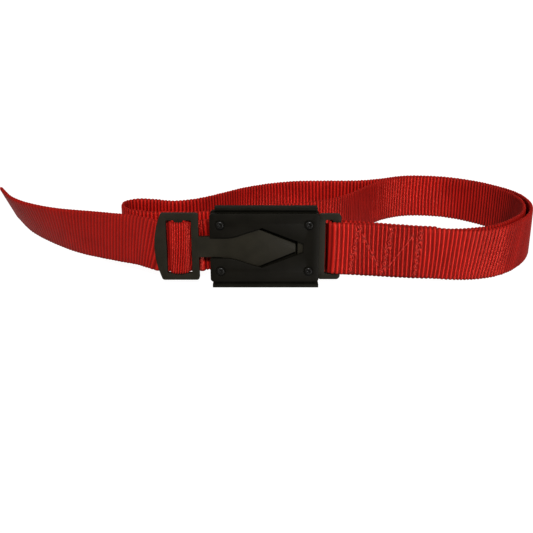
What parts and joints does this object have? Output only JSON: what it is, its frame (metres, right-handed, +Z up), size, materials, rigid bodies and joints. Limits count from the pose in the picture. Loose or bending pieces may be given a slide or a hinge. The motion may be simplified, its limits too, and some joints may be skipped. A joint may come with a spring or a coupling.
{
  "type": "luggage strap",
  "caption": "Ribbed webbing luggage strap laid in nested turns, with a metal double-press side-release buckle, slotted length adjuster, cross-stitched end loop and free tail.",
  "frame": {"origin": "centre of the lower press pad's underside, where the buckle stands on the floor", "axes": "+X along the buckle from the adjuster to the anchor ring, +Y from the buckle's front to its back, +Z up, across the webbing's width"},
  "size_m": [0.2893, 0.136, 0.0387],
  "materials": {
    "black_steel": "near-black powder coat, semi-matt",
    "dark_steel": "dark grey coated steel, satin",
    "spring_steel": "bright spring wire",
    "red_webbing": "red ribbed polyester webbing",
    "red_thread": "red bonded thread"
  },
  "bodies": {
    "buckle_case_and_webbing": {"front_plate": "black_steel", "back_plate": "black_steel", "anchor_ring": "dark_steel", "upper_spacer": "dark_steel", "lower_spacer": "dark_steel", "upper_washer": "dark_steel", "lower_washer": "dark_steel", "upper_left_screw": "black_steel", "upper_right_screw": "black_steel", "lower_left_screw": "black_steel", "lower_right_screw": "black_steel", "upper_left_spring": "spring_steel", "upper_right_spring": "spring_steel", "lower_left_spring": "spring_steel", "lower_right_spring": "spring_steel", "webbing_sewn_end": "red_webbing", "webbing_outer_turn": "red_webbing", "webbing_rear_run": "red_webbing", "webbing_left_turn": "red_webbing", "webbing_middle_run": "red_webbing", "webbing_inner_turn": "red_webbing", "webbing_inner_run": "red_webbing", "stitch_row_inner": "red_thread", "stitch_row_slant_inner": "red_thread", "stitch_row_middle": "red_thread", "stitch_row_slant_outer": "red_thread", "stitch_row_outer": "red_thread"},
    "tongue_and_tail": {"tongue": "dark_steel", "webbing_tail": "red_webbing"},
    "upper_latch": {"upper_latch": "black_steel"},
    "lower_latch": {"lower_latch": "black_steel"}
  },
  "joints": [
    {"name": "upper_latch_press", "type": "slide", "parent": "buckle_case_and_webbing", "child": "upper_latch", "axis": [0, 0, -1], "range_m": [0, 0.0013], "stiffness_N_per_m": 1500, "springref_m": -0.002, "deforming": ["upper_left_spring", "upper_right_spring"]},
    {"name": "lower_latch_press", "type": "slide", "parent": "buckle_case_and_webbing", "child": "lower_latch", "axis": [0, 0, 1], "range_m": [0, 0.0013], "stiffness_N_per_m": 1500, "springref_m": -0.002, "deforming": ["lower_left_spring", "lower_right_spring"]},
    {"name": "tongue_slide", "type": "slide", "parent": "buckle_case_and_webbing", "child": "tongue_and_tail", "axis": [-1, 0, 0], "range_m": [0, 0.001]}
  ]
}
